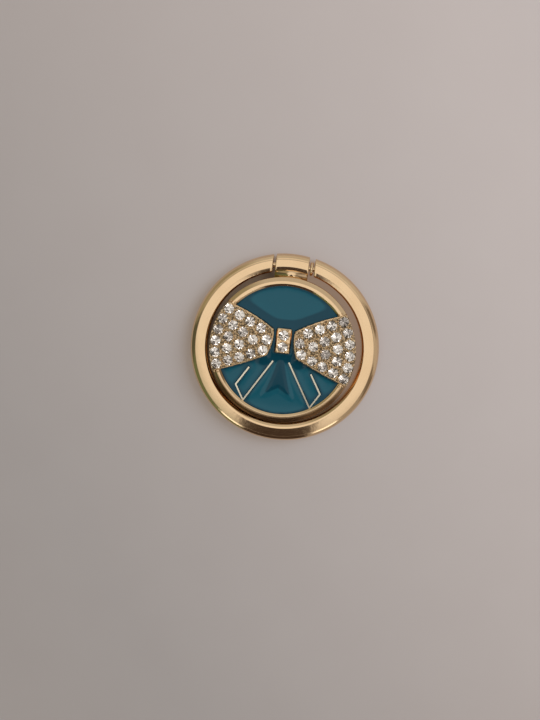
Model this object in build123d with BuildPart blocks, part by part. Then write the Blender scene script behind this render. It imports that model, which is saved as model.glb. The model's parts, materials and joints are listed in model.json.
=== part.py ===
from build123d import *
import os
from math import acos, atan2, cos, degrees, floor, radians, sqrt, tan

# Phone ring holder: a finger hoop hinged to an enamelled disc that turns on a stick-on base.
# Millimetres. The origin is the centre of the adhesive face, +Z points away from the phone,
# and +Y points to the hinge. The hoop is modelled folded flat round the disc.
os.makedirs("parts", exist_ok=True)

# Disc, from the face plate out to the hoop and down to the adhesive
face_r = 14.6
ledge_w = 0.2
base_inset = 0.2
pad_inset = 0.4
pad_t = 0.6
web_t = 0.65
turn_gap = 0.05
carrier_t = 0.9

# Swivel rivet, and the disc spring over its head
rivet_r = 1.6
rivet_head_w = 1.6
rivet_head_t = 0.35
rivet_head_gap = 0.06
flare_w = 0.6
flare_t = 0.4
flare_sink = 0.06
rivet_fit = 0.02
swivel_gap = 0.05
spring_w = 1.95
spring_t = 0.22
spring_rise = 0.18
spring_bore_gap = 0.15
spring_seat_gap = 0.02
recess_gap = 0.7

# Hoop section, how far the ring is centred towards the hinge, and how far it has slid along its pin
hoop_clear = 0.8
hoop_w = 3.4
hoop_h = 3.4
hinge_drop = 0.4
crown_in = 0.4
crown_drop = 0.3
top_fall = 0.14
crease_in = 1.15
shoulder_drop = 1.25
shoulder_bulge = 0.28
low_edge = 0.7
hoop_ahead = 0.2
hoop_slide = 0.3

# Hinge
knuckle_w = 6.6
side_play = 0.8
pin_r = 0.5
pin_hold = 1.5
pin_fit = 0.02
pin_gap = 0.05
pin_end_gap = 0.15

# Face plate's cup, and the enamel in it
floor_t = 0.45
enamel_t = 0.6
step_w = 0.35
step_h = 0.75
rim_w = 1.3
rim_proud = 0.1
rim_crown = 0.3
rim_bevel = 0.4

# Brilliant-cut stones, and the metal round them
stone_r = 1.05
crown_mains = 6
table_r = 0.58
star_share = 0.5
crown_deg = 34.5
pavilion_deg = 41.0
girdle_t = 0.08
girdle_sink = 0.1
seat_gap = 0.03
seat_rise = 0.6
stone_wall = 0.1
stone_web = 0.15
row_web = 0.3
stone_turn_deg = 17.0

# Bow: knot, loops and ribbon tails
knot_y = 2.05
knot_side_wall = 0.425
knot_end_wall = 0.275
knot_web = 0.25
knot_rise = 0.85
knot_corner = 0.35
knot_edge = 0.2
strip_w = 0.7
loop_rise = 0.85
loop_tilt_deg = 2.0
loop_root_up = 2.25
loop_root_down = 3.15
loop_root_slant = 0.75
loop_root_bulge = 0.38
loop_top_bulge = 0.4
loop_low_bulge = 0.2
loop_top_deg = 36.3
loop_low_deg = -22.6
loop_corner = 0.3
tail_x = 1.6
tail_drop = 1.75
tail_rim_gap = 0.1
tail_tip_deg = -58.2
tail_end_w = 3.55
tail_end_deg = 59.9
tail_side = 4.48
tail_side_deg = 121.3
tail_w = 0.3
tail_proud = 0.06

# Radii that follow from the sizes above
carrier_r = face_r + ledge_w
base_r = carrier_r - base_inset
pad_r = base_r - pad_inset
hoop_in_r = carrier_r + hoop_clear
hoop_out_r = hoop_in_r + hoop_w
hoop_mid_r = hoop_in_r + hoop_w / 2
rim_out_r = face_r - step_w
rim_in_r = rim_out_r - rim_w
rivet_head_r = rivet_r + rivet_head_w
flare_r = rivet_r + flare_w
spring_in_r = rivet_r + spring_bore_gap
spring_out_r = spring_in_r + spring_w
recess_r = spring_out_r + recess_gap
stone_margin = stone_r + stone_wall

# Levels, from the adhesive face upwards
head_low_z = pad_t + rivet_head_gap
head_top_z = head_low_z + rivet_head_t
spring_low_z = head_top_z + spring_seat_gap
spring_top_z = spring_low_z + spring_t + spring_rise
recess_top_z = spring_top_z + spring_seat_gap
base_top_z = recess_top_z + web_t
carrier_z = base_top_z + turn_gap
face_z = carrier_z + carrier_t
flare_top_z = face_z - flare_sink
floor_z = face_z + floor_t
enamel_top_z = floor_z + enamel_t
rim_side_z = enamel_top_z + rim_proud
rim_top_z = rim_side_z + rim_crown
knot_top_z = enamel_top_z + knot_rise
loop_top_z = enamel_top_z + loop_rise
hinge_z = carrier_z + carrier_t / 2 - hinge_drop
hoop_low_z = hinge_z - hoop_h / 2
hoop_top_z = hinge_z + hoop_h / 2

# Hinge lengths along X, and the pin's axis, midway in the hoop's bored ends
hoop_end_x = knuckle_w / 2 + side_play
pin_half = hoop_end_x + pin_hold
bore_half = pin_half + side_play + pin_end_gap
pin_reach = sqrt(hoop_mid_r**2 - ((hoop_end_x + bore_half) / 2) ** 2)
hinge_y = hoop_ahead + pin_reach

# Bow in plan
knot_w = 2 * (stone_r + knot_side_wall)
knot_h = 4 * stone_r + knot_web + 2 * knot_end_wall
loop_root_x = knot_w / 2 + strip_w
root_top = Vector(loop_root_x, knot_y + loop_root_up)
root_low = Vector(loop_root_x + loop_root_slant, knot_y - loop_root_down)
tip_top = Vector(face_r, 0).rotate(Axis.Z, loop_top_deg)
tip_low = Vector(face_r, 0).rotate(Axis.Z, loop_low_deg)
tail_top = Vector(tail_x, knot_y - knot_h / 2 - tail_drop)
tail_tip = Vector(rim_in_r - tail_rim_gap, 0).rotate(Axis.Z, tail_tip_deg)
tail_corner = tail_tip + Vector(tail_end_w, 0).rotate(Axis.Z, tail_end_deg)
tail_end = tail_corner + Vector(tail_side, 0).rotate(Axis.Z, tail_side_deg)


def left_of(start, end):
    """Unit vector that points to the left of the way from start to end."""
    return (end - start).normalized().rotate(Axis.Z, 90)


def bulged_arc(start, end, bulge):
    """Arc that stands out to the left of the way from start to end, by bulge at its middle."""
    return ThreePointArc(start, (start + end) / 2 + left_of(start, end) * bulge, end)


# Outlines shared by the face plate and the enamel. The loop is drawn on the right only.
with BuildSketch() as loop_outline:
    with BuildLine():
        bulged_arc(root_top, tip_top, loop_top_bulge)
        CenterArc((0, 0), face_r, loop_low_deg, loop_top_deg - loop_low_deg)
        bulged_arc(tip_low, root_low, loop_low_bulge)
        bulged_arc(root_low, root_top, loop_root_bulge)
    make_face()
    fillet(loop_outline.vertices().sort_by(Axis.X)[:2], loop_corner)

with BuildSketch() as knot_outline:
    with Locations((0, knot_y)):
        RectangleRounded(knot_w, knot_h, knot_corner)

with BuildSketch() as tail_lines:
    with BuildLine():
        Polyline(tail_top, tail_tip, tail_corner, tail_end)
    trace(line_width=tail_w)
    mirror(about=Plane.YZ)


# Stone places: rows concentric with the disc, each spread between the loop's two edges
def edge_angle(start, end, row_r, way):
    """Angle in a row at which a stone comes up to the edge from start to end."""
    away = left_of(start, end)
    reach = away.dot(start) - stone_margin
    return degrees(atan2(away.Y, away.X)) + way * degrees(acos(reach / row_r))


def row_angles(row_r):
    """Angles of the stones in one row of a loop, from the lower edge to the upper."""
    root_limit = degrees(acos((loop_root_x + stone_margin) / row_r))
    last = min(edge_angle(root_top, tip_top, row_r, -1), root_limit)
    first = edge_angle(tip_low, root_low, row_r, 1)
    count = floor(radians(last - first) * row_r / (2 * stone_r + stone_web)) + 1
    step = (last - first) / max(count - 1, 1)
    middle = (first + last) / 2
    return [middle + (index - (count - 1) / 2) * step for index in range(count)]


def bed_plane(x, y, side):
    """Plane on the bed of a loop, which slopes down from its root to the disc's edge."""
    level = loop_top_z - (x - loop_root_x) * tan(radians(loop_tilt_deg))
    return Plane((side * x, y, level), z_dir=Vector(0, 0, 1).rotate(Axis.Y, side * loop_tilt_deg))


outer_row_r = face_r - stone_margin
row_pitch = 2 * stone_r + row_web
row_count = floor((outer_row_r - loop_root_x - stone_margin) / row_pitch) + 1
stone_planes = {}
for side_name, side in (("left", -1), ("right", 1)):
    for row in range(row_count):
        row_r = outer_row_r - row * row_pitch
        for index, angle in enumerate(row_angles(row_r)):
            place = Vector(row_r, 0).rotate(Axis.Z, angle)
            girdle = bed_plane(place.X, place.Y, side).offset(-girdle_sink)
            turn = stone_turn_deg * (row + index * row_count)
            stone_planes[f"{side_name}_stone_{row + 1}_{index + 1}"] = girdle.rotated((0, 0, turn))
for name, way in (("knot_stone_lower", -1), ("knot_stone_upper", 1)):
    centre = (0, knot_y + way * (stone_r + knot_web / 2), knot_top_z - girdle_sink)
    stone_planes[name] = Plane(centre).rotated((0, 0, way * stone_turn_deg))

# Adhesive pad
with BuildPart() as adhesive_pad:
    with BuildSketch():
        Circle(pad_r)
    extrude(amount=pad_t)

# Base plate, hollowed under the middle for the rivet's head and its spring
with BuildPart() as base_plate:
    with BuildSketch(Plane.XY.offset(pad_t)):
        Circle(base_r)
    extrude(amount=base_top_z - pad_t)
    with BuildSketch(Plane.XY.offset(pad_t)):
        Circle(recess_r)
    extrude(amount=recess_top_z - pad_t, mode=Mode.SUBTRACT)
    with Locations((0, 0, base_top_z)):
        Hole(rivet_r + swivel_gap)

# Disc spring: a coned washer that draws the carrier down to the base plate
with BuildPart() as disc_spring:
    with BuildSketch(Plane.XZ):
        with BuildLine():
            Polyline(
                (spring_in_r, spring_top_z),
                (spring_in_r, spring_top_z - spring_t),
                (spring_out_r, spring_low_z),
                (spring_out_r, spring_low_z + spring_t),
                close=True,
            )
        make_face()
    revolve(axis=Axis.Z)

# Pivot rivet: head below the spring, end flared into the carrier's countersink
with BuildPart() as pivot_rivet:
    with BuildSketch(Plane.XZ):
        with BuildLine():
            Polyline(
                (0, head_low_z),
                (rivet_head_r, head_low_z),
                (rivet_head_r, head_top_z),
                (rivet_r, head_top_z),
                (rivet_r, flare_top_z - flare_t),
                (flare_r, flare_top_z),
                (0, flare_top_z),
                close=True,
            )
        make_face()
    revolve(axis=Axis.Z)

# Section of the hoop, which the knuckle shares, so that the two read as one ring
with BuildSketch(Plane.XZ) as hoop_section:
    crown = (hoop_in_r + crown_in, hoop_top_z)
    crease = Vector(hoop_out_r - crease_in, hoop_top_z - top_fall)
    shoulder = Vector(hoop_out_r, hoop_top_z - shoulder_drop)
    brow = (crease + shoulder) / 2 + left_of(crease, shoulder) * shoulder_bulge
    inner_top = (hoop_in_r, hoop_top_z - crown_drop)
    inner_low = (hoop_in_r, hoop_low_z)
    outer_low = (hoop_out_r, hoop_low_z)
    with BuildLine():
        Polyline(crown, crease, brow, shoulder, outer_low, inner_low, inner_top, close=True)
    make_face()
    chamfer(hoop_section.vertices().group_by(Axis.Y)[0], low_edge)

# Hoop: a ring with a gap at the hinge and a blind bore in each end
with BuildPart() as hoop:
    revolve(hoop_section.sketch, axis=Axis.Z)
    with Locations((0, hoop_mid_r, hinge_z)):
        Box(2 * hoop_end_x, hoop_mid_r, 2 * hoop_h, mode=Mode.SUBTRACT)
    with Locations((0, pin_reach, hinge_z)):
        Cylinder(pin_r + pin_gap, 2 * bore_half, rotation=(0, 90, 0), mode=Mode.SUBTRACT)

# Hinge knuckle: the stretch of the same ring that fills the hoop's gap
with BuildPart() as knuckle:
    revolve(hoop_section.sketch, axis=Axis.Z)
    with Locations((0, hoop_mid_r, hinge_z)):
        Box(knuckle_w, hoop_mid_r, 2 * hoop_h, mode=Mode.INTERSECT)

# Carrier: turning plate, neck and knuckle in one casting
with BuildPart() as carrier:
    with BuildSketch(Plane.XY.offset(carrier_z)):
        Circle(carrier_r)
    extrude(amount=carrier_t)
    with BuildSketch(Plane.XY.offset(carrier_z)):
        with Locations((0, hinge_y / 2)):
            Rectangle(knuckle_w, hinge_y)
    extrude(amount=carrier_t)
    add(knuckle.part.moved(Location((0, hoop_ahead, 0))))
    with Locations((0, hinge_y, hinge_z)):
        Cylinder(pin_r + pin_fit, knuckle_w, rotation=(0, 90, 0), mode=Mode.SUBTRACT)
    with BuildSketch(Plane.XZ):
        with BuildLine():
            Polyline(
                (0, carrier_z),
                (rivet_r + rivet_fit, carrier_z),
                (rivet_r + rivet_fit, flare_top_z - flare_t),
                (flare_r + rivet_fit, flare_top_z),
                (flare_r + rivet_fit, face_z),
                (0, face_z),
                close=True,
            )
        make_face()
    revolve(axis=Axis.Z, mode=Mode.SUBTRACT)

# Hinge pin: held in the knuckle, free in the hoop's bores
with BuildPart() as hinge_pin:
    with Locations((0, hinge_y, hinge_z)):
        Cylinder(pin_r, 2 * pin_half, rotation=(0, 90, 0))

# Stone and seat: prisms cut down by rings of facets, with the girdle's top at the origin. The crown's
# star and half facets lean so that they meet the mains in one point, between each two mains.
girdle_sides = 2 * crown_mains
main_deg = 360 / crown_mains
flat_deg = main_deg / 4
flat_r = stone_r * cos(radians(flat_deg))
table_flat_r = table_r * cos(radians(main_deg / 2))
crown_h = (stone_r - table_r) * tan(radians(crown_deg))
meet_r = table_flat_r + star_share * (stone_r - table_flat_r)
meet_h = (stone_r - meet_r * cos(radians(main_deg / 2))) * tan(radians(crown_deg))
star_deg = degrees(atan2(crown_h - meet_h, meet_r - table_flat_r))
half_deg = degrees(atan2(meet_h, flat_r - meet_r * cos(radians(flat_deg))))


def facet_ring(count, first_deg, tilt_deg, reach, level):
    """Planes spaced evenly round the stone, each tilted out from facing straight up."""
    for index in range(count):
        turn = first_deg + index * 360 / count
        normal = Vector(0, 0, 1).rotate(Axis.Y, tilt_deg).rotate(Axis.Z, turn)
        yield Plane(Vector(reach, 0, level).rotate(Axis.Z, turn), z_dir=normal)


def pavilion(growth):
    """Lower facets of a stone that is larger all round by growth."""
    return facet_ring(girdle_sides, flat_deg, 180 - pavilion_deg, flat_r + growth, -girdle_t - growth)


with BuildPart() as stone:
    with BuildSketch(Plane.XY.offset(crown_h)):
        RegularPolygon(stone_r, girdle_sides)
    extrude(amount=-2 * stone_r)
    for facet in facet_ring(crown_mains, 0, crown_deg, stone_r, 0):
        split(bisect_by=facet, keep=Keep.BOTTOM)
    for facet in facet_ring(crown_mains, main_deg / 2, star_deg, table_flat_r, crown_h):
        split(bisect_by=facet, keep=Keep.BOTTOM)
    for facet in facet_ring(girdle_sides, flat_deg, half_deg, flat_r, 0):
        split(bisect_by=facet, keep=Keep.BOTTOM)
    for facet in pavilion(0):
        split(bisect_by=facet, keep=Keep.BOTTOM)

with BuildPart() as seat:
    with BuildSketch(Plane.XY.offset(seat_rise)):
        RegularPolygon(flat_r + seat_gap, girdle_sides, major_radius=False)
    extrude(amount=-2 * stone_r - seat_rise)
    for facet in pavilion(seat_gap):
        split(bisect_by=facet, keep=Keep.BOTTOM)

# Loop beds: the two fans of the bow, cut to their slope
with BuildPart() as loop_beds:
    with BuildSketch(Plane.XY.offset(floor_z)):
        add(loop_outline.sketch)
    extrude(amount=loop_top_z - floor_z)
    split(bisect_by=bed_plane(loop_root_x, 0, 1), keep=Keep.BOTTOM)
    mirror(about=Plane.YZ)

# Face plate: cup with a beaded rim, bow and ribbon lines in one casting
with BuildPart() as face_plate:
    with BuildSketch(Plane.XZ):
        with BuildLine():
            Polyline(
                (0, face_z),
                (face_r, face_z),
                (face_r, face_z + step_h),
                (rim_out_r, face_z + step_h),
                (rim_out_r, rim_side_z),
                (rim_out_r - rim_bevel, rim_top_z),
                (rim_in_r + rim_bevel, rim_top_z),
                (rim_in_r, rim_side_z),
                (rim_in_r, floor_z),
                (0, floor_z),
                close=True,
            )
        make_face()
    revolve(axis=Axis.Z)
    with BuildSketch(Plane.XY.offset(floor_z)):
        add(loop_outline.sketch)
        mirror(loop_outline.sketch, about=Plane.YZ)
    extrude(amount=rim_top_z - floor_z, mode=Mode.SUBTRACT)
    add(loop_beds.part)
    with BuildSketch(Plane.XY.offset(floor_z)):
        add(knot_outline.sketch)
    extrude(amount=knot_top_z - floor_z)
    chamfer(face_plate.faces().filter_by(Axis.Z).sort_by(Axis.Z)[-1].edges(), knot_edge)
    with BuildSketch(Plane.XY.offset(floor_z)):
        add(tail_lines.sketch)
    extrude(amount=enamel_t + tail_proud)
    with Locations(*[plane.location for plane in stone_planes.values()]):
        add(seat.part, mode=Mode.SUBTRACT)

# Enamel: one pour that fills the cup round the bow and between the ribbon lines
with BuildPart() as enamel_fill:
    with BuildSketch(Plane.XY.offset(floor_z)):
        Circle(rim_in_r)
        add(loop_outline.sketch, mode=Mode.SUBTRACT)
        mirror(loop_outline.sketch, about=Plane.YZ, mode=Mode.SUBTRACT)
        add(knot_outline.sketch, mode=Mode.SUBTRACT)
        add(tail_lines.sketch, mode=Mode.SUBTRACT)
    extrude(amount=enamel_t)

# Finished pieces, each in its own file
pieces = {
    "adhesive_pad": adhesive_pad.part,
    "base_plate": base_plate.part,
    "disc_spring": disc_spring.part,
    "pivot_rivet": pivot_rivet.part,
    "carrier": carrier.part,
    "hinge_pin": hinge_pin.part,
    "hoop": hoop.part.moved(Location((hoop_slide, hoop_ahead, 0))),
    "face_plate": face_plate.part,
    "enamel_fill": enamel_fill.part,
}
for name, plane in stone_planes.items():
    pieces[name] = stone.part.moved(plane.location)
for name, piece in pieces.items():
    piece.label = name
    export_step(piece, f"parts/{name}.step")
print(f"{len(pieces)} pieces, hinge axis at y {hinge_y:.3f}, z {hinge_z:.3f}, hoop radius {hoop_out_r:.2f}")
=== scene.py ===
# %% [markdown]
# # A phone ring holder, dressed for its picture
# The solids come from CAD: a stick-on base, a disc that swivels on it, a finger hoop hinged to the disc,
# and a bow of small cut stones set in enamel. Here they get rounded edges, a poured enamel surface,
# the tiny grains that hold the stones, and finishes.

import json
from math import asin, cos, pi, radians, sin, sqrt, tan

import bmesh
import bpy
import numpy as np
from mathutils import Matrix, Vector
from mathutils.geometry import delaunay_2d_cdt


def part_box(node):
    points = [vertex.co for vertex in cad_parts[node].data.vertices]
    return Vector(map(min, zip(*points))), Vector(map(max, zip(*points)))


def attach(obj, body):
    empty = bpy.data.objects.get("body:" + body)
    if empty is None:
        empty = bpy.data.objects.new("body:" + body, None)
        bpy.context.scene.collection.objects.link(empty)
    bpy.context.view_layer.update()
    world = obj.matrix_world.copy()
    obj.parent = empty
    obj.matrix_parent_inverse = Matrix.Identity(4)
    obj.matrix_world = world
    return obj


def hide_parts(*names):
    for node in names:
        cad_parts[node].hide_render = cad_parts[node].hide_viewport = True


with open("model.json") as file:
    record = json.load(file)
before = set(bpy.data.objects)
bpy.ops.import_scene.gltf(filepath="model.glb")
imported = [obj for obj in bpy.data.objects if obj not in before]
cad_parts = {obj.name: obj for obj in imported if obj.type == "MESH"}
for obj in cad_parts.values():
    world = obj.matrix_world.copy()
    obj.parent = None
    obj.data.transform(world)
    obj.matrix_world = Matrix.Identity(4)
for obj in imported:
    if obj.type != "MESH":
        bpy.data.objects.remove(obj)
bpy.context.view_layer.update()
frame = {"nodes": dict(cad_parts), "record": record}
nodes = frame["nodes"]
mm = 0.001
print("pieces from CAD:", len(nodes))

# %% [markdown]
# ## Camera
# The photograph looks almost straight down, from about 14 cm above. The camera's place decides how much
# of the hoop's inner wall shows, so it is given as a point over the disc, and the point that it looks at
# is the middle of the picture, which lies a little off the middle of the disc. In the picture the hinge
# leans a little to one side, so the camera is rolled by the same angle. The lens follows from the scale.

# %% Place the camera
camera_place = Vector((2.5, 22.0, 142.5)) * mm
picture_middle = Vector((-2.25, -2.32, 3.0)) * mm
lean = radians(7.0)
pixels_per_mm = 4.96
long_side_pixels = 720

camera = bpy.data.objects.new("camera", bpy.data.cameras.new("camera"))
bpy.context.scene.collection.objects.link(camera)
bpy.context.scene.camera = camera
sight = picture_middle - camera_place
right = Vector((cos(lean), sin(lean), 0.0))
up = right.cross(sight).normalized()
right = sight.cross(up).normalized()
turn = Matrix((right, up, -sight.normalized())).transposed()
camera.matrix_world = Matrix.Translation(camera_place) @ turn.to_4x4()
camera.data.sensor_width = 36.0
distance_in_pixels = pixels_per_mm * (sight.length / mm)
camera.data.lens = camera.data.sensor_width * distance_in_pixels / long_side_pixels
camera.data.clip_start = 1 * mm
print("camera lens:", round(camera.data.lens, 2))

# %% [markdown]
# ## Shader sums
# A finish is easier to read when its sums look like sums. `Value` wraps one output socket, and adding or
# multiplying Values adds Math nodes. The reflected forms let a plain number stand first, as in 1 - mask.


# %% Wrap a socket
class Value:
    def __init__(self, finish, socket):
        self.finish = finish
        self.socket = socket

    def math(self, operation, first, second):
        return self.finish.add("ShaderNodeMath", {"operation": operation}, {0: first, 1: second})

    def __add__(self, other):
        return self.math("ADD", self, other)

    def __sub__(self, other):
        return self.math("SUBTRACT", self, other)

    def __rsub__(self, other):
        return self.math("SUBTRACT", other, self)

    def __mul__(self, other):
        return self.math("MULTIPLY", self, other)

    def __abs__(self):
        return self.math("ABSOLUTE", self, 0.0)

    __radd__ = __add__
    __rmul__ = __mul__


# %% [markdown]
# ## One way to add a node
# Every other node comes from `Finish.add`, which sets what the node is first and then fills its sockets
# with numbers or links. The short methods below it are the few nodes that the finishes here share:
# the place on the piece, a range from 0 to 1, a noise, a mix of two colours and a bump.


# %% Wrap a material
class Finish:
    def __init__(self, tree):
        self.tree = tree
        tree.nodes.clear()

    def add(self, kind, settings=None, sockets=None, output=0):
        node = self.tree.nodes.new(kind)
        for key, value in (settings or {}).items():
            if key == "stops":
                self.set_stops(node.color_ramp.elements, value)
            else:
                setattr(node, key, value)
        for key, value in (sockets or {}).items():
            if isinstance(value, Value):
                self.tree.links.new(value.socket, node.inputs[key])
            else:
                node.inputs[key].default_value = value
        return Value(self, node.outputs[output]) if node.outputs else node

    def set_stops(self, elements, stops):
        for _ in stops[2:]:
            elements.new(1.0)
        for element, (place, colour) in zip(elements, stops):
            element.position = place
            element.color = (*colour, 1.0)

    def place(self):
        return self.add("ShaderNodeTexCoord", output="Object")

    def split(self, vector):
        first = self.add("ShaderNodeSeparateXYZ", {}, {0: vector})
        return [Value(self, socket) for socket in first.socket.node.outputs]

    def span(self, value, low, high):
        return self.add("ShaderNodeMapRange", {}, {"Value": value, "From Min": low, "From Max": high})

    def ring(self, across, along, low, high):
        """From 0 to 1 between two distances from the disc's middle, in millimetres."""
        return self.span(across * across + along * along, (low * mm) ** 2, (high * mm) ** 2)

    def noise(self, where, scale, detail=2.0):
        return self.add("ShaderNodeTexNoise", {}, {"Vector": where, "Scale": scale, "Detail": detail})

    def between(self, share, low, high):
        ends = {6: low, 7: high}
        colours = {key: end if isinstance(end, Value) else (*end, 1.0) for key, end in ends.items()}
        return self.add("ShaderNodeMix", {"data_type": "RGBA"}, {0: share, **colours}, output=2)

    def bump(self, height, strength, distance):
        sockets = {"Height": height, "Strength": strength, "Distance": distance}
        return self.add("ShaderNodeBump", {}, sockets)

    def surface(self, sockets):
        shader = self.add("ShaderNodeBsdfPrincipled", {}, sockets)
        self.add("ShaderNodeOutputMaterial", {}, {"Surface": shader})


def new_finish(name):
    material = bpy.data.materials.new(name)
    material.use_nodes = True
    return material, Finish(material.node_tree)


def dress(piece, material):
    piece.data.materials.clear()
    piece.data.materials.append(material)


# %% [markdown]
# ## Gold plate
# The castings are zinc, polished and plated with a pale gold. Polishing leaves the surface slightly
# wavy, so reflections wobble, and a fine haze of handling marks changes its gloss from place to place.
# A metal has no colour of its own beside what it mirrors, so the base colour is the tint of its mirror.
# Painted maps could carry the marks, but noise in the piece's own space needs no unwrapping and no seams.

# %% Make the gold finish
deep_gold, pale_gold = (0.80, 0.56, 0.33), (0.90, 0.67, 0.42)


def plating(make, where):
    """The plate's tint, and the haze that dulls it."""
    tone = make.noise(where, 220.0, 3.0)
    return make.between(tone, deep_gold, pale_gold), make.noise(where, 1400.0, 4.0)


gold, make = new_finish("gold_plate")
where = make.place()
tint, haze = plating(make, where)
waves = make.noise(where, 650.0, 2.0)
make.surface(
    {
        "Base Color": tint,
        "Metallic": 1.0,
        "Roughness": haze * 0.08 + 0.06,
        "Normal": make.bump(waves + haze * 0.15, 0.22, 0.04 * mm),
    }
)
print("gold nodes:", len(gold.node_tree.nodes))

# %% [markdown]
# ## The face plate's gold
# The face plate is plated like the rest. Between the stones the bed is given painted shade: dark gold,
# mottled by noise. The low ribbon lines are paler than the rest, and the outer slope on the side away
# from the hinge carries a painted shadow in brown, where it lies in the gap beside the hoop. Faces
# could be picked by hand for each finish, but height and distance from the middle are enough to tell
# these places apart, and they still hold when the solid is cut anew.

# %% Make the face plate's finish
# Painted shade: the bed between the stones is darkened, and a noise mottles it.
bed_painted_shade, bed_gold = (0.14, 0.10, 0.06), (0.86, 0.64, 0.40)
# Painted shadow: a brown for the outer slope that lies in the gap beside the hoop.
pale_line_gold, gap_painted_shadow = (0.86, 0.80, 0.64), (0.20, 0.11, 0.05)
away_from_hinge = (-3.0 * mm, -9.0 * mm)

set_gold, make = new_finish("set_gold")
where = make.place()
across, along, level = make.split(where)
tint, haze = plating(make, where)
# The mottle and the bed mask below carry the painted shade between the stones.
mottle = make.span(make.noise(where, 3000.0, 3.0), 0.45, 0.66)
on_bed = make.span(level, 4.40 * mm, 4.46 * mm) * make.span(abs(across), 2.1 * mm, 2.2 * mm)
on_lines = make.span(level, 4.30 * mm, 4.20 * mm) * make.ring(across, along, 12.85, 12.7)
on_slope = make.span(level, 4.50 * mm, 4.40 * mm) * make.ring(across, along, 13.6, 13.8)
# Painted shadow on the outer slope, on the side away from the hinge, in the gap beside the hoop.
shaded_in_gap = on_slope * make.span(along, *away_from_hinge)
polished = make.between(shaded_in_gap, make.between(on_lines, tint, pale_line_gold), gap_painted_shadow)
make.surface(
    {
        "Base Color": make.between(on_bed, polished, make.between(mottle, bed_painted_shade, bed_gold)),
        "Metallic": 1.0,
        "Roughness": haze * 0.08 + 0.08 + on_bed * 0.25,
        "Normal": make.bump(haze, 0.1, 0.02 * mm),
    }
)
print("face plate nodes:", len(set_gold.node_tree.nodes))

# %% [markdown]
# ## Enamel
# The teal is a resin enamel poured into the disc's cup. It is deepest in colour where it climbs the walls,
# partly the deeper tint of thicker enamel and partly painted shade for the dark bands along the walls, and
# a little lighter where it lies flat. A volume of tinted liquid could show the deeper tint, but it is slow
# and noisy at this depth. The level of the surface tells the two apart just as well.

# %% Make the enamel finish
enamel_low, enamel_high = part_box("enamel_fill")
enamel_level = enamel_high.z
# The deeper teal is partly the tint of thicker enamel and partly painted shade along the walls.
flat_teal, deep_teal_and_shade = (0.0087, 0.083, 0.120), (0.003, 0.043, 0.069)

enamel, make = new_finish("teal_enamel")
where = make.place()
level = make.split(where)[2]
# Where the surface climbs, the colour turns to the deeper teal with its painted shade.
climb = make.span(level, enamel_level + 0.02 * mm, enamel_level + 0.05 * mm)
cloud = make.noise(where, 120.0, 2.0)
dust = make.noise(where, 2500.0, 3.0)
make.surface(
    {
        "Base Color": make.between(climb + cloud * 0.2 - 0.1, flat_teal, deep_teal_and_shade),
        "Roughness": dust * 0.06 + 0.03,
        "Specular IOR Level": 0.25,
        "Normal": make.bump(cloud, 0.1, 0.05 * mm),
    }
)
print("enamel level in mm:", round(enamel_level / mm, 3))

# %% [markdown]
# ## Crystal
# The stones are clear cut glass with a bright foil behind. Light goes in through the crown, turns back at
# the foiled facets below and comes out again, so each facet flashes light or dark. Which facets carry
# foil is told by where they face: outwards and down. Inside a stone a ray meets the back of a face, so
# the direction is turned round there. One white noise, fed by the way that a facet faces, makes each
# facet of the foil bright or painted dark, as painted dark reflections. Near the girdle the glass is
# painted browner, a painted shade for the dark crevice round each stone.
# Foil could be a second mesh below each stone; one mixed finish keeps a stone a single piece.

# %% Make the crystal finish
# Painted dark reflections: the darker foil colour that some facets get.
foil_painted_dark, foil_bright = (0.30, 0.27, 0.25), (0.97, 0.95, 0.93)
# Painted shade: the brown glass near the girdle stands for the dark crevice round each stone.
clear_glass, girdle_painted_shade = (0.98, 0.96, 0.94), (0.34, 0.27, 0.20)

crystal, make = new_finish("crystal")
facing = make.add("ShaderNodeNewGeometry", output="True Normal")
behind = make.add("ShaderNodeNewGeometry", output="Backfacing")
outward = make.split(facing)[2] * (1.0 - 2.0 * behind)
foiled = make.span(outward, -0.1, -0.3)
spark = make.add("ShaderNodeTexWhiteNoise", {"noise_dimensions": "4D"}, {"Vector": facing, "W": 3.0})
silver = make.between(make.span(spark, 0.15, 0.4), foil_painted_dark, foil_bright)
across, along, _ = make.split(make.add("ShaderNodeTexCoord", output="Generated"))
across, along = across - 0.5, along - 0.5
girdle = make.span(across * across + along * along, 0.16, 0.25)
tint = make.between(girdle, clear_glass, girdle_painted_shade)
glass = make.add(
    "ShaderNodeBsdfPrincipled",
    {},
    {"Base Color": tint, "Roughness": 0.01, "IOR": 1.56, "Transmission Weight": 1.0},
)
foil = make.add(
    "ShaderNodeBsdfPrincipled", {}, {"Base Color": silver, "Roughness": 0.08, "Metallic": 1.0}
)
stone = make.add("ShaderNodeMixShader", {}, {0: foiled, 1: glass, 2: foil})
make.add("ShaderNodeOutputMaterial", {}, {"Surface": stone})
print("crystal nodes:", len(crystal.node_tree.nodes))

# %% [markdown]
# ## Steel
# The pin, rivet and spring are bright drawn steel, with fine lines along their length. An anisotropic
# gloss could suggest such lines; a noise that is squeezed across the wire and stretched along it draws
# them, so they can be seen close up.

# %% Make the steel finish
steel_dark, steel_pale = (0.46, 0.45, 0.44), (0.62, 0.61, 0.60)

steel, make = new_finish("drawn_steel")
stretch = {"Vector": make.place(), "Scale": (300.0, 9000.0, 9000.0)}
lines = make.noise(make.add("ShaderNodeMapping", {}, stretch), 1.0, 3.0)
make.surface(
    {
        "Base Color": make.between(lines, steel_dark, steel_pale),
        "Metallic": 1.0,
        "Roughness": lines * 0.2 + 0.18,
        "Normal": make.bump(lines, 0.1, 0.01 * mm),
    }
)
print("steel nodes:", len(steel.node_tree.nodes))

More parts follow.
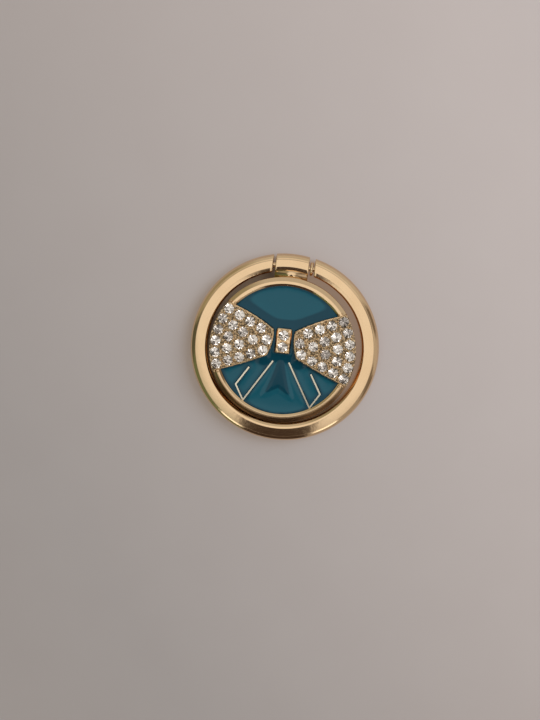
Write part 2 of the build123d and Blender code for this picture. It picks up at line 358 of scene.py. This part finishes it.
# %% [markdown]
# ## Adhesive pad
# The pad is a foam tape: matt, off-white, a little stained, with the open cells of foam in its skin.
# A cell texture has the look of packed bubbles, so it drives the bump.

# %% Make the foam finish
foam_stained, foam_clean = (0.66, 0.65, 0.62), (0.80, 0.79, 0.76)

foam, make = new_finish("adhesive_foam")
where = make.place()
cells = make.add("ShaderNodeTexVoronoi", {}, {"Vector": where, "Scale": 2600.0})
stain = make.noise(where, 150.0, 3.0)
make.surface(
    {
        "Base Color": make.between(stain, foam_stained, foam_clean),
        "Roughness": stain * 0.15 + 0.75,
        "Normal": make.bump(cells, 0.35, 0.08 * mm),
    }
)
print("foam nodes:", len(foam.node_tree.nodes))

# %% [markdown]
# ## Dressing the CAD pieces
# The record names a material slot for each CAD piece, so one table from slot to finish dresses all of
# them. Only the face plate has a finish of its own.

# %% Dress the CAD nodes
slot_finish = {
    "gold_plate": gold,
    "enamel": enamel,
    "crystal": crystal,
    "steel": steel,
    "adhesive": foam,
}
for part in frame["record"]["subparts"]:
    dress(nodes[part["node"]], slot_finish[part["material_slot"]])
dress(nodes["face_plate"], set_gold)
print("finishes:", sorted(slot_finish))

# %% [markdown]
# ## Rings made from a section
# The hoop, the knuckle, the turning plate and the disc's rim are each one section carried round a middle.
# CAD keeps their edges as plain bevels; the polished castings have rounded ones. A bevel modifier gives
# every edge one radius, while a drawn section can give each corner its own. `rounded` turns corners into
# arcs, `inset` shrinks a section for an eased end, and `ring_of` sets one copy of a section in place.


# %% Draw and place sections
def rounded(corners, steps=6):
    points = []
    for index, (x, y, radius) in enumerate(corners):
        corner = Vector((x, y))
        back = (Vector(corners[index - 1][:2]) - corner).normalized()
        ahead = (Vector(corners[(index + 1) % len(corners)][:2]) - corner).normalized()
        half = back.angle(ahead) / 2
        middle = corner + (back + ahead).normalized() * (radius / sin(half))
        first = corner + back * (radius / tan(half)) - middle
        last = corner + ahead * (radius / tan(half)) - middle
        for step in range(steps + 1):
            points.append(middle + first.slerp(last, step / steps).normalized() * radius)
    return points


def inset(section, distance):
    moved = []
    for index, point in enumerate(section):
        along = (section[(index + 1) % len(section)] - section[index - 1]).normalized()
        moved.append(point + Vector((-along.y, along.x)) * distance)
    return moved


def ring_of(mesh, section, centre, angle_of):
    ring = []
    for radius, height in section:
        angle = angle_of(radius)
        spot = centre + Vector((sin(angle), cos(angle))) * radius
        ring.append(mesh.verts.new(Vector((spot.x, spot.y, height)) * mm))
    return ring


# %% [markdown]
# ## From mesh to piece
# `join_rings` lays faces between neighbouring rings. `new_piece` turns a finished mesh into an object,
# dresses it, hangs it on the empty of the body that it rides on, and hides the CAD pieces that it stands
# in for.


# %% Join rings and add pieces
def join_rings(mesh, rings, closed=False):
    pairs = list(zip(rings, rings[1:] + rings[:1])) if closed else list(zip(rings, rings[1:]))
    for low, high in pairs:
        for index in range(len(low)):
            after = (index + 1) % len(low)
            mesh.faces.new((low[index], low[after], high[after], high[index]))


def new_piece(name, mesh, body, material, replaced=()):
    bmesh.ops.recalc_face_normals(mesh, faces=mesh.faces)
    data = bpy.data.meshes.new(name)
    mesh.to_mesh(data)
    mesh.free()
    data.shade_smooth()
    piece = bpy.data.objects.new(name, data)
    bpy.context.scene.collection.objects.link(piece)
    dress(piece, material)
    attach(piece, body)
    if replaced:
        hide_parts(*replaced)
    return piece


# %% [markdown]
# ## The hoop's section
# Hoop and knuckle share one section: nearly flat on top, with a soft crease a third of the way in from the
# outside, and a round shoulder outside it. Away from the hinge the hoop's hole comes a little nearer to
# the disc and its edge is softer, so a broader band of it catches the light there.

# %% Measure the hoop and draw its section
hoop_low, hoop_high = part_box("hoop")
hoop_middle = (hoop_low.x + hoop_high.x) / 2 / mm
hoop_out = (hoop_high.x - hoop_low.x) / 2 / mm
hoop_centre = Vector((hoop_middle, hoop_low.y / mm + hoop_out))
hoop_bottom, hoop_top = hoop_low.z / mm, hoop_high.z / mm
hoop_in = 15.5
nearer = 0.25


def section_at(far):
    """The section, with far from 0 at the hinge to 1 where the hole is nearest and its edge softest."""
    wall = hoop_in - nearer * far
    return rounded(
        [
            (wall, hoop_bottom, 0.8),
            (hoop_out, hoop_bottom, 0.8),
            (hoop_out, hoop_top - 1.25, 1.0),
            (hoop_out - 0.34, hoop_top - 0.56, 0.9),
            (hoop_out - 0.80, hoop_top - 0.27, 0.4),
            (hoop_out - 1.10, hoop_top - 0.20, 0.08),
            (hoop_out - 1.16, hoop_top - 0.12, 0.08),
            (wall + 1.0 - 0.05 * far, hoop_top, 0.8),
            (wall + 0.36 + 0.26 * far, hoop_top - 0.1 + 0.04 * far, 0.08 + 0.12 * far),
            (wall + 0.06 + 0.10 * far, hoop_top - 0.75 + 0.47 * far, 0.3 - 0.1 * far),
            (wall, hoop_top - 1.4 + 0.6 * far, 0.3),
        ]
    )


hoop_section = section_at(0.0)
print("hoop outside:", round(2 * hoop_out, 2), "section points:", len(hoop_section))

# %% [markdown]
# ## Ends at the hinge
# The ends of the hoop and of the knuckle are cut square to the hinge pin, so they lie on planes across X,
# not on spokes. Each end is eased by a quarter round and bored for the pin.

# %% Shape an end
pin_low, pin_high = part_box("hinge_pin")
pin_axis = Vector((pin_low.y + pin_high.y, pin_low.z + pin_high.z)) / 2 / mm
bore_r = 0.55
end_ease, ease_steps = 0.16, 4


def eased_end(mesh, centre, plane, inward):
    """Rings of an end cut at x = plane, from the cut inwards; inward is 1 or -1, the way to the metal."""
    rings = []
    for step in range(ease_steps):
        turn = pi / 2 * step / ease_steps
        x = plane + inward * end_ease * (1 - cos(turn))
        section = inset(hoop_section, end_ease * (1 - sin(turn)))
        rings.append(ring_of(mesh, section, centre, lambda r: asin(x / r)))
    return rings


def bored_end(mesh, ring, depth):
    mouth, bottom = [], []
    for vert in ring:
        spoke = Vector((vert.co.y / mm, vert.co.z / mm)) - pin_axis
        rim = pin_axis + spoke.normalized() * bore_r
        mouth.append(mesh.verts.new(Vector((vert.co.x / mm, rim.x, rim.y)) * mm))
        bottom.append(mesh.verts.new(Vector((vert.co.x / mm + depth, rim.x, rim.y)) * mm))
    join_rings(mesh, [ring, mouth, bottom])
    mesh.faces.new(bottom)


print("pin axis:", [round(value, 3) for value in pin_axis])

# %% [markdown]
# ## Hoop
# The hoop is cast in one piece, with a split for the knuckle. A curve with a bevel profile could make it,
# but its ends would lie on spokes and its section could not change on the way. So the section goes round
# ring by ring. The sweep's angle is corrected for each point of the section, so that the first and last
# rings lie on the flat planes of the ends. The edge is softest at a bearing of 163 degrees from the
# hinge, not quite opposite to it.

# %% Cast the hoop
cut, hoop_bore = 4.1, 2.45
sweep_steps = 240
soft_bearing = radians(163)
first_ring = cut + end_ease

hoop_mesh = bmesh.new()
rings = eased_end(hoop_mesh, hoop_centre, cut, 1)
for step in range(sweep_steps + 1):
    share = step / sweep_steps
    section = section_at(max(0.0, cos(2 * pi * share - soft_bearing)))
    rings.append(
        ring_of(
            hoop_mesh,
            section,
            hoop_centre,
            lambda r: asin(first_ring / r) * (1 - 2 * share) + 2 * pi * share,
        )
    )
rings += reversed(eased_end(hoop_mesh, hoop_centre, -cut, -1))
join_rings(hoop_mesh, rings)
bored_end(hoop_mesh, rings[0], hoop_bore)
bored_end(hoop_mesh, rings[-1], -hoop_bore)
hoop = new_piece("finger_hoop_cast", hoop_mesh, "finger_hoop", gold, ["hoop"])
print("hoop faces:", len(hoop.data.polygons))

# %% [markdown]
# ## Carrier
# The turning plate, its neck and the knuckle are one casting. The plate shows only as a narrow ledge
# round the disc, so a plain eased edge is enough; the knuckle gets the hoop's own section and ends, and
# a block joins the two. The plate's edge is drawn in a little, which widens the dark gap beside the hoop.
# A boolean could weld the three, but they overlap out of sight, so one mesh of three shells is enough.

# %% Cast the carrier
_, carrier_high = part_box("carrier")
face_low, face_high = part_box("face_plate")
drawn_in = 0.16
plate_r = carrier_high.x / mm - drawn_in
plate_bottom, plate_top = 2.15, face_low.z / mm
rivet_hole = 1.62
plate_steps, knuckle_steps = 200, 16
knuckle_half, knuckle_bore = 3.3, 1.0
disc_centre, knuckle_centre = Vector((0.0, 0.0)), Vector((0.0, hoop_centre.y))

carrier_mesh = bmesh.new()
plate_section = rounded(
    [
        (rivet_hole, plate_bottom, 0.02),
        (plate_r, plate_bottom, 0.1),
        (plate_r, plate_top, 0.18),
        (rivet_hole, plate_top, 0.02),
    ]
)
rings = []
for step in range(plate_steps):
    angle = 2 * pi * step / plate_steps
    rings.append(ring_of(carrier_mesh, plate_section, disc_centre, lambda r: angle))
join_rings(carrier_mesh, rings, closed=True)

rings = eased_end(carrier_mesh, knuckle_centre, -knuckle_half, 1)
for step in range(knuckle_steps + 1):
    x = (knuckle_half - end_ease) * (2 * step / knuckle_steps - 1)
    rings.append(ring_of(carrier_mesh, hoop_section, knuckle_centre, lambda r: asin(x / r)))
rings += reversed(eased_end(carrier_mesh, knuckle_centre, knuckle_half, -1))
join_rings(carrier_mesh, rings)
bored_end(carrier_mesh, rings[0], knuckle_bore)
bored_end(carrier_mesh, rings[-1], -knuckle_bore)

neck_top = plate_top + 0.55
neck_size = Vector((2 * knuckle_half - 0.1, 2.6, neck_top - plate_bottom)) * mm
neck_middle = Vector((0.0, 15.3, (neck_top + plate_bottom) / 2)) * mm
for vert in bmesh.ops.create_cube(carrier_mesh, size=1.0)["verts"]:
    vert.co = neck_middle + vert.co * neck_size
carrier = new_piece("carrier_cast", carrier_mesh, "turntable", gold, ["carrier"])
print("carrier faces:", len(carrier.data.polygons))

# %% [markdown]
# ## Pin collar
# The hoop sits a little to one side on its pin. The wider split is taken up by a loose collar, which
# shows as a narrow brown band between two dark lines. It is a tube with its outer edges broken. A screw
# modifier could turn its profile round the pin; a short loop does the same and needs no modifier.

# %% Turn the collar
collar_r, collar_half, collar_sides = 1.35, 0.3, 48
collar_x = (cut + hoop_middle + knuckle_half) / 2
collar_profile = [(bore_r, -1), (collar_r - 0.1, -1), (collar_r, -0.7)]
collar_profile += [(radius, -offset) for radius, offset in reversed(collar_profile)]

collar_mesh = bmesh.new()
rings = []
for radius, offset in collar_profile:
    ring = []
    for step in range(collar_sides):
        turn = 2 * pi * step / collar_sides
        spot = pin_axis + Vector((cos(turn), sin(turn))) * radius
        place = Vector((collar_x + offset * collar_half, spot.x, spot.y))
        ring.append(collar_mesh.verts.new(place * mm))
    rings.append(ring)
join_rings(collar_mesh, rings, closed=True)
collar = new_piece("pin_collar", collar_mesh, "turntable", gold)
print("collar middle:", round(collar_x, 3), "faces:", len(collar.data.polygons))

# %% [markdown]
# ## The rim's gold
# The rim is plated like the hoop. On the side away from the hinge only a thin inner line of it is bright,
# and the rest slopes into the dark gap, so from there outwards it carries the gap's painted shadow in
# brown. Two materials would meet at a hard edge, so one finish blends by distance from the middle instead.

# %% Make the rim's finish
rim_gold, make = new_finish("rim_gold")
where = make.place()
across, along, _ = make.split(where)
tint, haze = plating(make, where)
# Painted shadow: the rim's outer part away from the hinge turns brown in the gap beside the hoop.
shaded_in_gap = make.ring(across, along, 13.5, 13.75) * make.span(along, *away_from_hinge)
make.surface(
    {
        "Base Color": make.between(shaded_in_gap, tint, gap_painted_shadow),
        "Metallic": 1.0,
        "Roughness": haze * 0.08 + 0.06 + shaded_in_gap * 0.1,
        "Normal": make.bump(haze, 0.1, 0.02 * mm),
    }
)
print("rim nodes:", len(rim_gold.node_tree.nodes))

# %% [markdown]
# ## Rim bead
# The disc's edge is a flat-topped bead with rounded shoulders and a sloping skirt outside it. It runs
# above and below the bow and dies into the bow's two loops, so it is two arcs of one section, laid just
# over the bevelled rim of the solid. The same sweep as the hoop's makes it, rather than a bevelled curve,
# so that its skirt can follow the turning plate. The arcs' ends are closed: the mesh has no holes.

# %% Lay the bead
rim_in, rim_out = 12.93, 14.24
rim_side, rim_top = 4.24, 4.53
skirt_r, skirt_top, bead_foot = plate_r - 0.02, 3.92, 3.82
loop_top, loop_low = radians(36.3), radians(-22.6)
bead_steps = 120
bead_section = rounded(
    [
        (rim_in, bead_foot, 0.01),
        (skirt_r, bead_foot, 0.01),
        (skirt_r, skirt_top, 0.05),
        (rim_out + 0.06, rim_side - 0.04, 0.04),
        (rim_out, rim_side, 0.04),
        (rim_out - 0.36, rim_top, 0.2),
        (rim_in + 0.38, rim_top, 0.2),
        (rim_in, rim_side, 0.1),
    ]
)
upper_end, lower_end = pi / 2 - loop_top, pi / 2 - loop_low
bead_mesh = bmesh.new()
for first, last in ((-upper_end, upper_end), (lower_end, 2 * pi - lower_end)):
    rings = []
    for step in range(bead_steps + 1):
        angle = first + (last - first) * step / bead_steps
        rings.append(ring_of(bead_mesh, bead_section, disc_centre, lambda r: angle))
    join_rings(bead_mesh, rings)
    bead_mesh.faces.new(rings[0])
    bead_mesh.faces.new(rings[-1])
bead = new_piece("rim_bead", bead_mesh, "turntable", rim_gold)
print("bead faces:", len(bead.data.polygons))

# %% [markdown]
# ## The enamel's outline
# Liquid enamel creeps up the walls round it before it sets, so its surface is a shallow dish with raised
# edges, and that is what bends the reflections along the bow. The outline could be drawn again here, but
# then it might not fit the metal, so it is read from the CAD node's own top face: an edge that only one
# top face uses lies on the border. It is cut into short steps.

# %% Read the outline
spacing = 0.24


def top_outline(node, level):
    """Edges of a node's flat top, as pairs of points in plan, in millimetres."""
    data = nodes[node].data
    uses = {}
    for polygon in data.polygons:
        corners = [data.vertices[index].co for index in polygon.vertices]
        if min(corner.z for corner in corners) < level - 0.01 * mm:
            continue
        keys = [(round(corner.x / mm, 4), round(corner.y / mm, 4)) for corner in corners]
        for first, second in zip(keys, keys[1:] + keys[:1]):
            edge = tuple(sorted((first, second)))
            uses[edge] = uses.get(edge, 0) + 1
    return [edge for edge, count in uses.items() if count == 1]


border, border_edges, index_of = [], [], {}


def border_index(point):
    key = (round(point[0], 4), round(point[1], 4))
    if key not in index_of:
        index_of[key] = len(border)
        border.append(key)
    return index_of[key]


for first, second in top_outline("enamel_fill", enamel_level):
    first, second = Vector(first), Vector(second)
    parts = max(1, round((second - first).length / spacing))
    chain = [border_index(first.lerp(second, part / parts)) for part in range(parts + 1)]
    border_edges += list(zip(chain, chain[1:]))
border = np.array(border)
print("border points:", len(border))

# %% [markdown]
# ## Triangles inside the outline
# A surface that is to bend needs points all over it. A grid of points in close packing fills the outline,
# apart from a narrow strip beside the border, and one call joins all of them into even triangles.
# A point lies inside when a ray from it to the right crosses the border an odd number of times.

# %% Fill the outline with triangles
starts = border[[a for a, b in border_edges]]
stops = border[[b for a, b in border_edges]]
field_r = 13.4


def inside(points):
    hits = np.zeros(len(points), int)
    for (x1, y1), (x2, y2) in zip(starts, stops):
        if y1 != y2:
            crossing = (points[:, 1] > min(y1, y2)) & (points[:, 1] <= max(y1, y2))
            across = x1 + (points[:, 1] - y1) * (x2 - x1) / (y2 - y1)
            hits += crossing & (points[:, 0] < across)
    return hits % 2 == 1


def packed(columns, rows, pitch):
    """Points in close packing: every second row is moved by half a pitch."""
    return [(x + pitch / 2 * (i % 2), y) for i, y in enumerate(rows) for x in columns]


def from_nearest(points, others):
    return np.array([np.hypot(*(others - point).T).min() for point in points])


columns = np.arange(-field_r, field_r, spacing)
rows = np.arange(-field_r, field_r, spacing * sqrt(3) / 2)
grid = np.array(packed(columns, rows, spacing))
grid = grid[inside(grid)]
grid = grid[from_nearest(grid, border) > 0.6 * spacing]
points = np.vstack([border, grid])
made = delaunay_2d_cdt([Vector(point) for point in points], border_edges, [], 0, 1e-5)
plan = np.array([tuple(point) for point in made[0]])
triangles = np.array(made[2])
triangles = triangles[inside(plan[triangles].mean(axis=1))]
print("enamel points:", len(plan), "triangles:", len(triangles))

# %% [markdown]
# ## The settled surface
# The border is held at the height that the enamel climbs to: high on the bow's walls, low at the rim and
# at the ribbon lines, which lie below the loops and off the middle line. Each point inside is set again
# and again to the mean of its neighbours, pulled a little towards the flat level, as a skin of liquid
# would settle. A cloth simulation could do this too, but not with the same result on every run. Below
# the knot the pour swells into a short stem, which widens downwards and, by its height, takes the same
# painted shade as the enamel on the walls.

# %% Let the surface settle
bow_wall, rim_wall, line_wall = 0.36, 0.07, 0.06
flat_level, pull, settling_rounds = -0.06, 0.012, 400
stem_start, stem_length = -1.2, 6.6
stem_rise, stem_blend = 0.15, 1.6

x, y = plan.T
from_middle = np.hypot(x, y)
on_border = from_nearest(plan, border) < 1e-3
by_lines = (y < -1.9) & (np.abs(x) > 1.2) & (from_middle < 12.8) & (y < -0.2 - np.abs(x) * 0.36)
wall = np.full(len(plan), bow_wall)
wall[from_middle > 12.88] = rim_wall
wall[by_lines] = line_wall

surface = np.where(on_border, wall, flat_level)
ends = np.vstack([triangles[:, [0, 1]], triangles[:, [1, 2]], triangles[:, [2, 0]]])
ends = np.vstack([ends, ends[:, ::-1]])
counts = np.bincount(ends[:, 0], minlength=len(plan))
for _ in range(settling_rounds):
    mean = np.bincount(ends[:, 0], surface[ends[:, 1]], len(plan)) / np.maximum(counts, 1)
    surface = np.where(on_border, wall, (mean + pull * flat_level) / (1 + pull))

# The stem's height puts it in the painted shade that the enamel's colour gives to climbing surfaces.
down = stem_start - y
stem_half = 0.75 + 0.18 * down + 0.012 * down**2
stem_end = stem_length + 0.6 * np.abs(x)
stem = np.clip((stem_half - np.abs(x)) / stem_blend + 0.5, 0, 1)
stem *= np.clip((stem_end - down) / stem_blend + 0.5, 0, 1)
swollen = np.maximum(surface, flat_level + stem_rise * stem)
surface = np.where(on_border | (down < 0), surface, swollen)
print("enamel rise:", round(surface.min(), 3), round(surface.max(), 3))

# %% [markdown]
# ## The pour
# The settled triangles become the top of a closed piece. The same triangles, turned over, are its flat
# bottom at the floor of the cup, and a wall of quads joins the two along the border.

# %% Pour the enamel
enamel_mesh = bmesh.new()
floor_z = enamel_low.z
top = [
    enamel_mesh.verts.new((px * mm, py * mm, enamel_level + rise * mm))
    for (px, py), rise in zip(plan, surface)
]
bottom = [enamel_mesh.verts.new((px * mm, py * mm, floor_z)) for px, py in plan]
for a, b, c in triangles:
    enamel_mesh.faces.new((top[a], top[b], top[c]))
    enamel_mesh.faces.new((bottom[c], bottom[b], bottom[a]))
above_floor = floor_z + 0.1 * mm
for edge in list(enamel_mesh.edges):
    a, b = edge.verts
    if edge.is_boundary and a.co.z > above_floor:
        enamel_mesh.faces.new((a, b, bottom[top.index(b)], bottom[top.index(a)]))
loose = [vert for vert in enamel_mesh.verts if not vert.link_faces]
bmesh.ops.delete(enamel_mesh, geom=loose, context="VERTS")
pour = new_piece("enamel_pour", enamel_mesh, "turntable", enamel, ["enamel_fill"])
print("enamel faces:", len(pour.data.polygons))

# %% [markdown]
# ## Places for the grains
# In a pave setting the metal left between the stones is raised into little grains, some of them pushed
# over the stones' edges. They cover the bed, so it glitters in small points and is dark between them.
# Six grains are set round each stone, and a close pattern of points fills what is left. A grain is left
# out where it would lie on a stone or on another grain, too near the bed's edge or far from any stone.

# %% Choose places for the grains
stone_r, grain_pitch, grain_spacing = 1.05, 0.38, 0.42
bed_x, bed_y, bed_r = (-14.4, 14.4), (-6.0, 9.0), 14.35
farthest, edge_gap = 1.8, 0.28
middles = []
for name in sorted(nodes):
    if "_stone_" in name:
        low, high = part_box(name)
        middles.append(((low + high) / 2 / mm).to_2d())
middles = np.array(middles)

spots = []
for order, middle in enumerate(middles):
    turns = 2 * pi * (np.arange(6) + 0.37 * order) / 6
    around_stone = np.stack([np.cos(turns), np.sin(turns)], axis=1)
    spots += list(middle + (stone_r + 0.04) * around_stone)
columns = np.arange(*bed_x, grain_pitch)
rows = np.arange(*bed_y, grain_pitch * sqrt(3) / 2)
spots = np.array([tuple(spot) for spot in spots] + packed(columns, rows, grain_pitch))

from_stone = from_nearest(spots, middles)
fits = (from_stone > stone_r + 0.03) & (from_stone < farthest)
fits &= (from_nearest(spots, border) > edge_gap) & (np.hypot(*spots.T) < bed_r) & ~inside(spots)
chosen = []
for spot in spots[fits]:
    if all(np.hypot(*(spot - other)) > grain_spacing for other in chosen):
        chosen.append(spot)
print("setting grains:", len(chosen))

# %% [markdown]
# ## The grains
# A grain is a small ball, sunk to its middle in the bed, which falls away a little from the knot
# outwards. Geometry nodes could scatter them, but a loop keeps every place known. One ball is made and
# its points are copied to every place. A sine of the grain's number changes the size a little from grain
# to grain, as handwork does.

# %% Raise the grains
root_x, bed_top, bed_slope = 2.175, 4.95, tan(radians(2.0))
grain_r, grain_change = 0.22, 0.06
ball = bmesh.new()
bmesh.ops.create_icosphere(ball, subdivisions=2, radius=1.0)
ball_points = np.array([tuple(vert.co) for vert in ball.verts])
ball_faces = [[vert.index for vert in face.verts] for face in ball.faces]
ball.free()

grains_mesh = bmesh.new()
for order, (gx, gy) in enumerate(chosen):
    size = grain_r + grain_change * sin(2.4 * order)
    level = bed_top - max(abs(gx) - root_x, 0.0) * bed_slope
    verts = [grains_mesh.verts.new(point) for point in (ball_points * size + (gx, gy, level)) * mm]
    for face in ball_faces:
        grains_mesh.faces.new([verts[index] for index in face])
grains = new_piece("setting_grains", grains_mesh, "turntable", gold)
print("grain faces:", len(grains.data.polygons))

# %% [markdown]
# ## Edge of the bow
# A thin bright edge runs along both loops where the polished wall meets the bed. It is a wire-thin round
# bead along the outline, which is three shallow arcs for each loop. A curve with a bevel depth would look
# alike, but the export wants a mesh, so rings of eight points are joined. The corners are softened by
# taking the mean of neighbouring points twice, and one loop is the mirror image of the other.

# %% Run the edging
wire_r, wire_sides, wire_inset, wire_sink = 0.1, 8, 0.08, 0.03


def bowed(start, end, bulge, steps=24):
    """Points of a shallow arc that stands out to the right of the way from start to end."""
    way = end - start
    right = Vector((way.y, -way.x)).normalized()
    shares = [step / steps for step in range(steps)]
    return [start.lerp(end, share) + right * (4 * bulge * share * (1 - share)) for share in shares]


tip_r = face_high.x / mm - 0.1
tip_top = Vector((cos(loop_top), sin(loop_top))) * tip_r
tip_low = Vector((cos(loop_low), sin(loop_low))) * tip_r
root_top, root_low = Vector((2.25, 4.20)), Vector((3.0, -0.98))
path = bowed(tip_top, root_top, 0.4) + bowed(root_top, root_low, 0.38)
path += bowed(root_low, tip_low, 0.2) + [tip_low]
for _ in range(2):
    softened = [(a + 2 * b + c) / 4 for a, b, c in zip(path, path[1:], path[2:])]
    path = [path[0]] + softened + [path[-1]]

edging_mesh = bmesh.new()
for side in (-1, 1):
    rings = []
    for index, point in enumerate(path):
        along = (path[min(index + 1, len(path) - 1)] - path[max(index - 1, 0)]).normalized()
        inner = Vector((-along.y, along.x))
        level = bed_top - (point.x - root_x) * bed_slope - wire_sink
        ring = []
        for step in range(wire_sides):
            turn = 2 * pi * step / wire_sides
            spot = point + inner * (wire_inset + wire_r * cos(turn))
            place = Vector((side * spot.x, spot.y, level + wire_r * sin(turn)))
            ring.append(edging_mesh.verts.new(place * mm))
        rings.append(ring)
    join_rings(edging_mesh, rings)
    edging_mesh.faces.new(rings[0])
    edging_mesh.faces.new(rings[-1])
edging = new_piece("bow_edging", edging_mesh, "turntable", gold)
print("edging points:", len(path), "faces:", len(edging.data.polygons))

# %% [markdown]
# ## Floor
# The part lies on plain pale paper. Some of the paper's look is a fixed glow, painted light mixed in by
# the
# Light Path node only for rays that the camera sees, straight, mirrored or through glass. Its tone can
# then be set without changing the soft light that the paper throws on the part. The glow is a painted
# light that is stronger towards the window. Under the part the paper is painted warm, as painted light
# that the gold throws back, and on the side away from the window most of the glow is left out there, a
# painted shadow in the gap beside the hoop.

# %% Lay the floor
# Painted light: the glow colours, and the warm paper under the part for the light that gold throws back.
open_dim, open_bright, paper_painted_bounce = (0.39, 0.42, 0.48), (0.43, 0.465, 0.525), (0.34, 0.25, 0.18)
glow_far, glow_near = (0.34, 0.235, 0.165), (0.62, 0.435, 0.325)
glow_share, shaded_share = 0.42, 0.38
floor_half = 1.5

floor_finish, make = new_finish("floor_paper")
where = make.place()
across, along, _ = make.split(where)
fibre = make.noise(where, 60.0, 4.0)
under = make.ring(across, along, 18.8, 16.8)
paper_tone = make.between(under, make.between(fibre, open_dim, open_bright), paper_painted_bounce)
paper = make.add(
    "ShaderNodeBsdfPrincipled", {}, {"Base Color": paper_tone, "Roughness": fibre * 0.1 + 0.6}
)
toward_window = make.span(across * 0.8 + along * 0.6, -60.0 * mm, 60.0 * mm)
glow_tone = make.between(toward_window, glow_far, glow_near)
glow = make.add("ShaderNodeEmission", {}, {"Color": glow_tone})
seen = make.add("ShaderNodeLightPath", output="Is Camera Ray")
mirrored = make.add("ShaderNodeLightPath", output="Is Glossy Ray")
through = make.add("ShaderNodeLightPath", output="Is Transmission Ray")
# Painted shadow: under the part, on the side away from the window, most of the glow is left out.
away_from_window = make.span(across * 0.87 + along * 0.5, 9.0 * mm, 4.0 * mm)
share = (seen + mirrored + through) * (glow_share - under * away_from_window * shaded_share)
floor_look = make.add("ShaderNodeMixShader", {}, {0: share, 1: paper, 2: glow})
make.add("ShaderNodeOutputMaterial", {}, {"Surface": floor_look})

floor_mesh = bmesh.new()
bmesh.ops.create_grid(floor_mesh, x_segments=1, y_segments=1, size=floor_half)
floor_data = bpy.data.meshes.new("floor")
floor_mesh.to_mesh(floor_data)
floor_mesh.free()
floor = bpy.data.objects.new("floor", floor_data)
bpy.context.scene.collection.objects.link(floor)
dress(floor, floor_finish)
print("floor side in m:", 2 * floor_half)

# %% [markdown]
# ## Room
# Polished metal shows whatever is round it, so the room matters: bright overhead, paler to the hinge side,
# olive to the left, and dark at the near side, with a bright pane to each side of the dark part. One
# colour ramp goes round the horizon for this, with a bearing of 0.5 at the hinge side and 0.75 to the
# right. Heights are sines of the angle above the horizon. The light overhead takes over higher up, but
# the dark part reaches nearly overhead in two steps, a wide one and a narrow one. A picture of a real
# room could stand here; ramps need no file, and each band can be moved to where the gold should show it.

# %% Paint the room
dark, bright = (0, 0, 0), (1, 1, 1)
near_dark, pane_light, overhead = (0.036, 0.025, 0.02), (1.10, 1.06, 1.00), (0.62, 0.60, 0.57)
black, olive, dull_olive = (0.065, 0.07, 0.05), (0.10, 0.13, 0.07), (0.22, 0.21, 0.15)
hinge_wall, right_wall = (0.37, 0.36, 0.335), (0.34, 0.32, 0.295)
right_dark, near_right = (0.13, 0.11, 0.09), (0.25, 0.235, 0.215)
pane_foot, pane_head, overhead_edge = (0.45, 0.52), (0.86, 0.80), (0.82, 0.93)
wide_edge, narrow_edge = (0.955, 0.93), (0.988, 0.970)
room_strength = 1.5

world = bpy.data.worlds.new("soft_room")
bpy.context.scene.world = world
world.use_nodes = True
room = Finish(world.node_tree)
east, north, height = room.split(room.add("ShaderNodeTexCoord", output="Generated"))
bearing = room.add("ShaderNodeMath", {"operation": "ARCTAN2"}, {0: east, 1: north})
bearing = bearing * (0.5 / pi) + 0.5


def round_the_room(stops):
    return room.add("ShaderNodeValToRGB", {"stops": stops}, {0: bearing})


left_half = [(0.050, near_dark), (0.056, olive), (0.180, olive), (0.200, black), (0.245, black)]
left_half += [(0.270, dull_olive), (0.380, dull_olive), (0.430, hinge_wall)]
right_half = [(0.665, hinge_wall), (0.680, right_dark), (0.722, right_dark), (0.740, right_wall)]
right_half += [(0.795, right_wall), (0.805, right_dark), (0.840, right_dark), (0.855, near_right)]
right_half += [(0.948, near_right), (0.954, near_dark)]
around = round_the_room(left_half + right_half)
left_pane = [(0.050, dark), (0.054, bright), (0.086, bright), (0.090, dark)]
right_pane = [(0.905, dark), (0.909, bright), (0.944, bright), (0.948, dark)]
lit = round_the_room(left_pane + right_pane)
lit = lit * room.span(height, *pane_foot) * room.span(height, *pane_head)
low_room = room.between(lit, around, pane_light)
tone = room.between(room.span(height, *overhead_edge), low_room, overhead)
wide = round_the_room([(0.046, bright), (0.052, dark), (0.950, dark), (0.960, bright)])
narrow = round_the_room([(0.036, bright), (0.048, dark), (0.960, dark), (0.978, bright)])
tone = room.between(wide * room.span(height, *wide_edge), tone, near_dark)
tone = room.between(narrow * room.span(height, *narrow_edge), tone, near_dark)
light = room.add("ShaderNodeBackground", {}, {"Color": tone, "Strength": room_strength})
room.add("ShaderNodeOutputWorld", {}, {"Surface": light})
print("room nodes:", len(world.node_tree.nodes))

# %% [markdown]
# ## Lamp
# One square lamp, to the right and on the hinge side, stands for the large window. It gives the floor its
# slope from light to dark and the part a soft shadow. Mirror rays don't see it, because the room already
# holds the bright shapes that the gold reflects. The Standard view leaves colours as they were set.

# %% Hang the lamp
lamp_data = bpy.data.lights.new("window", "AREA")
lamp_data.energy = 0.62
lamp_data.size = 0.2
lamp = bpy.data.objects.new("window", lamp_data)
bpy.context.scene.collection.objects.link(lamp)
lamp.location = (0.18, 0.11, 0.21)
lamp.rotation_mode = "QUATERNION"
lamp.rotation_quaternion = (-lamp.location).to_track_quat("-Z", "Y")
lamp.visible_glossy = False
bpy.context.scene.view_settings.view_transform = "Standard"
print("lamp power in W:", round(lamp_data.energy, 2))
